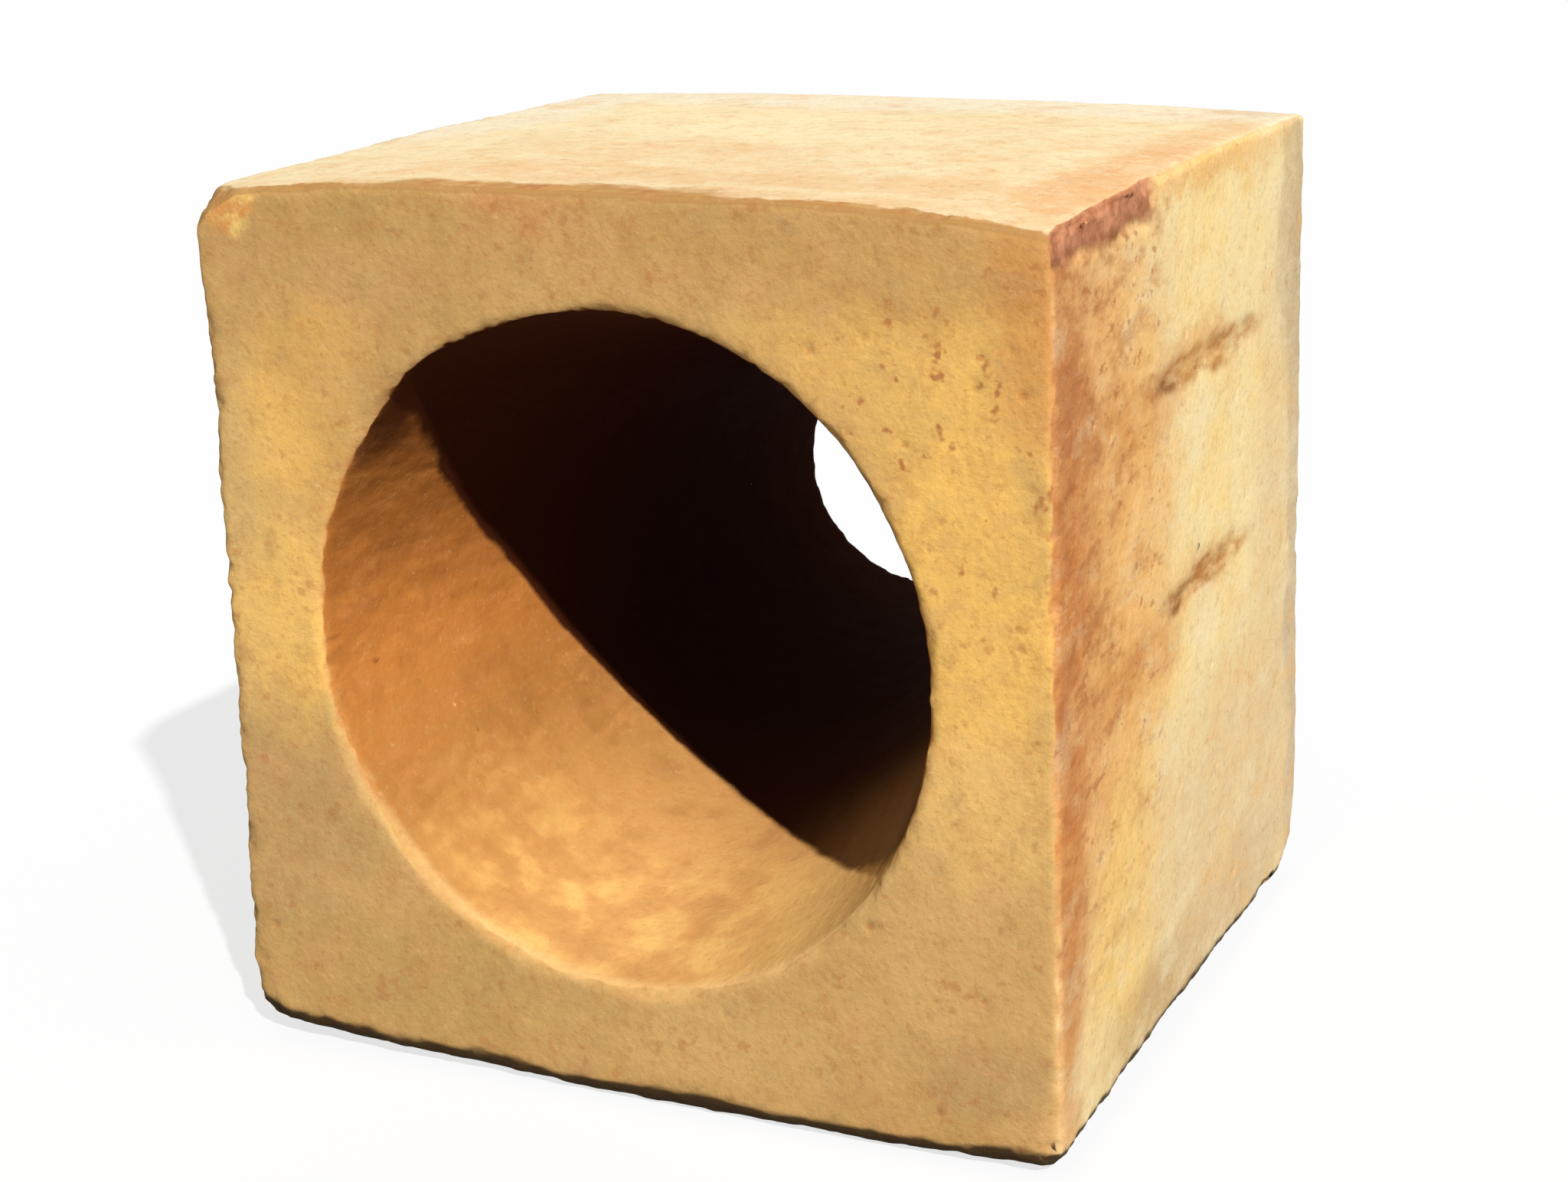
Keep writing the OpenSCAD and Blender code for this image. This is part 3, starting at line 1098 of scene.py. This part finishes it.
def painted_bore_shade_share(sh, place, strayed):
    """How far painted shade blackens the bore: full in its depth and its roof, none low in the mouth.
    """
    x, y, z = sh.split(place)
    depth = sh.math("ADD", y, HALF_DEPTH)
    reach = sh.length(*(
        sh.math("ADD", sh.math("SUBTRACT", value, centre), sh.math("MULTIPLY", depth, drift))
        for value, centre, drift in zip((x, z), MOUTH[1:], PAINTED_SHADE_DRIFT)
    ))
    ragged = sh.math("SUBTRACT", sh.noise(place, 14, seed=9.0, detail=4.0, roughness=0.55), 0.5)
    past_border = sh.math("ADD", reach, sh.math("MULTIPLY", ragged, PAINTED_SHADE_STRAY))
    painted_dark = sh.step(past_border, *(MOUTH[0] + past for past in PAINTED_SHADE_BORDER))
    begun = sh.math("MAXIMUM", sh.step(depth, *PAINTED_SHADE_DEPTH), sh.step(z, *PAINTED_SHADE_HEIGHT))
    thin = sh.both(patch_share(sh, place, *THIN_PAINTED_SHADE), 0.3)
    painted_dark = sh.both(painted_dark, begun, sh.math("SUBTRACT", 1.0, thin))
    return sh.math("MAXIMUM", painted_dark, sh.both(patch_share(sh, strayed, *PAINTED_SHADE_ROOF), 0.85))


def wear_colour(sh, skin, place, facing):
    """Pale fresh clay where an edge is worn low down, partly a painted highlight; a brown front lip,
    partly painted shade on its rounding; and darker colour in the pits.
    """
    worn = sh.add("ShaderNodeAttribute", output=2, attribute_name="worn")
    hollow = sh.add("ShaderNodeAttribute", output=2, attribute_name="hollow")
    z = sh.split(place)[2]
    _, facing_y, facing_z = sh.split(facing)
    uneven = sh.step(sh.noise(place, 9, seed=8.0, roughness=0.65), 0.38, 0.6)
    # Pale worn edges, low down only: partly fresh clay, partly a painted highlight where the light
    # falls
    skin = sh.tint(skin, SANDY, worn, uneven, sh.step(z, *PALE_WEAR_AND_HIGHLIGHT_TOP), 0.45)
    # Brown on the rounding of the front top edge: partly the lip's own brown, partly painted shade
    # that dulls its highlight
    faces_up, faces_front = sh.step(facing_z, 0.1, 0.45), sh.step(facing_y, -0.12, -0.45)
    skin = sh.tint(skin, LIP_BROWN_AND_SHADE, faces_up, faces_front, sh.step(z, *LIP_BROWN_AND_SHADE_FOOT), 0.8)
    return sh.tint(skin, BROWN, sh.step(hollow, 0.1, 0.6), 0.5)


def grain_colour(sh, skin, place):
    """Fine light and dark grains in the clay."""
    coarse = sh.noise(place, 4, seed=6.0, roughness=0.75)
    fine = sh.noise(place, 1.5, seed=6.5, detail=3.0, roughness=0.7)
    skin = sh.tint(skin, BROWN, sh.step(coarse, 0.48, 0.30), 0.3)
    skin = sh.tint(skin, BROWN, sh.step(fine, 0.46, 0.28), 0.3)
    return sh.tint(skin, PALE_CREAM, sh.step(fine, 0.56, 0.76), 0.15)


# ---------------------------------------------------------------- studio
def plain(level):
    """Grey of the given level, up to white at 1."""
    return [level] * 3 + [1]


def seen_share(sh):
    """1 where a surface is seen, also as a reflection or through glass, 0 where it only lights."""
    path = sh.outputs("ShaderNodeLightPath")
    seen = sh.math("MAXIMUM", path["Is Camera Ray"], path["Is Glossy Ray"])
    return sh.math("MAXIMUM", seen, path["Is Transmission Ray"])


def floor_material():
    """Pale floor: nearly white to the camera, but it throws little light back up."""
    material, sh = new_material("pale_floor")
    bounce = sh.add("ShaderNodeBsdfDiffuse", {"Color": plain(FLOOR_BOUNCE)})
    matt = sh.add("ShaderNodeBsdfDiffuse", {"Color": plain(FLOOR_GREY)})
    white = sh.add("ShaderNodeEmission", {"Color": plain(1), "Strength": 1.0})
    pale = sh.add("ShaderNodeMixShader", {0: SHADOW_SHARE, 1: white, 2: matt})
    sh.add_output(sh.add("ShaderNodeMixShader", {0: seen_share(sh), 1: bounce, 2: pale}))
    return material


def make_floor():
    mesh = bpy.data.meshes.new("floor")
    sides = ((-1, -1), (1, -1), (1, 1), (-1, 1))
    mesh.from_pydata([(FLOOR_REACH * x, FLOOR_REACH * y, 0) for x, y in sides], [], [(0, 1, 2, 3)])
    mesh.materials.append(floor_material())
    add_object("floor", mesh)


def make_world():
    """White to the camera, and an even fill light on the block."""
    world = bpy.data.worlds.new("studio")
    bpy.context.scene.world = world
    world.use_nodes = True
    sh = Nodes(world.node_tree)
    strength = sh.even(seen_share(sh), 0, 1, FILL, 1.0)
    sky = sh.add("ShaderNodeBackground", {"Color": plain(1), "Strength": strength})
    sh.add_output(sky, "ShaderNodeOutputWorld")


def main():
    make_camera()
    make_light()
    make_floor()
    make_world()
    block = make_block()
    block.data.materials.clear()
    block.data.materials.append(clay_material())
    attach(block, "root")
    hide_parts(NODE)
    bpy.context.scene.view_settings.view_transform = "Standard"


main()
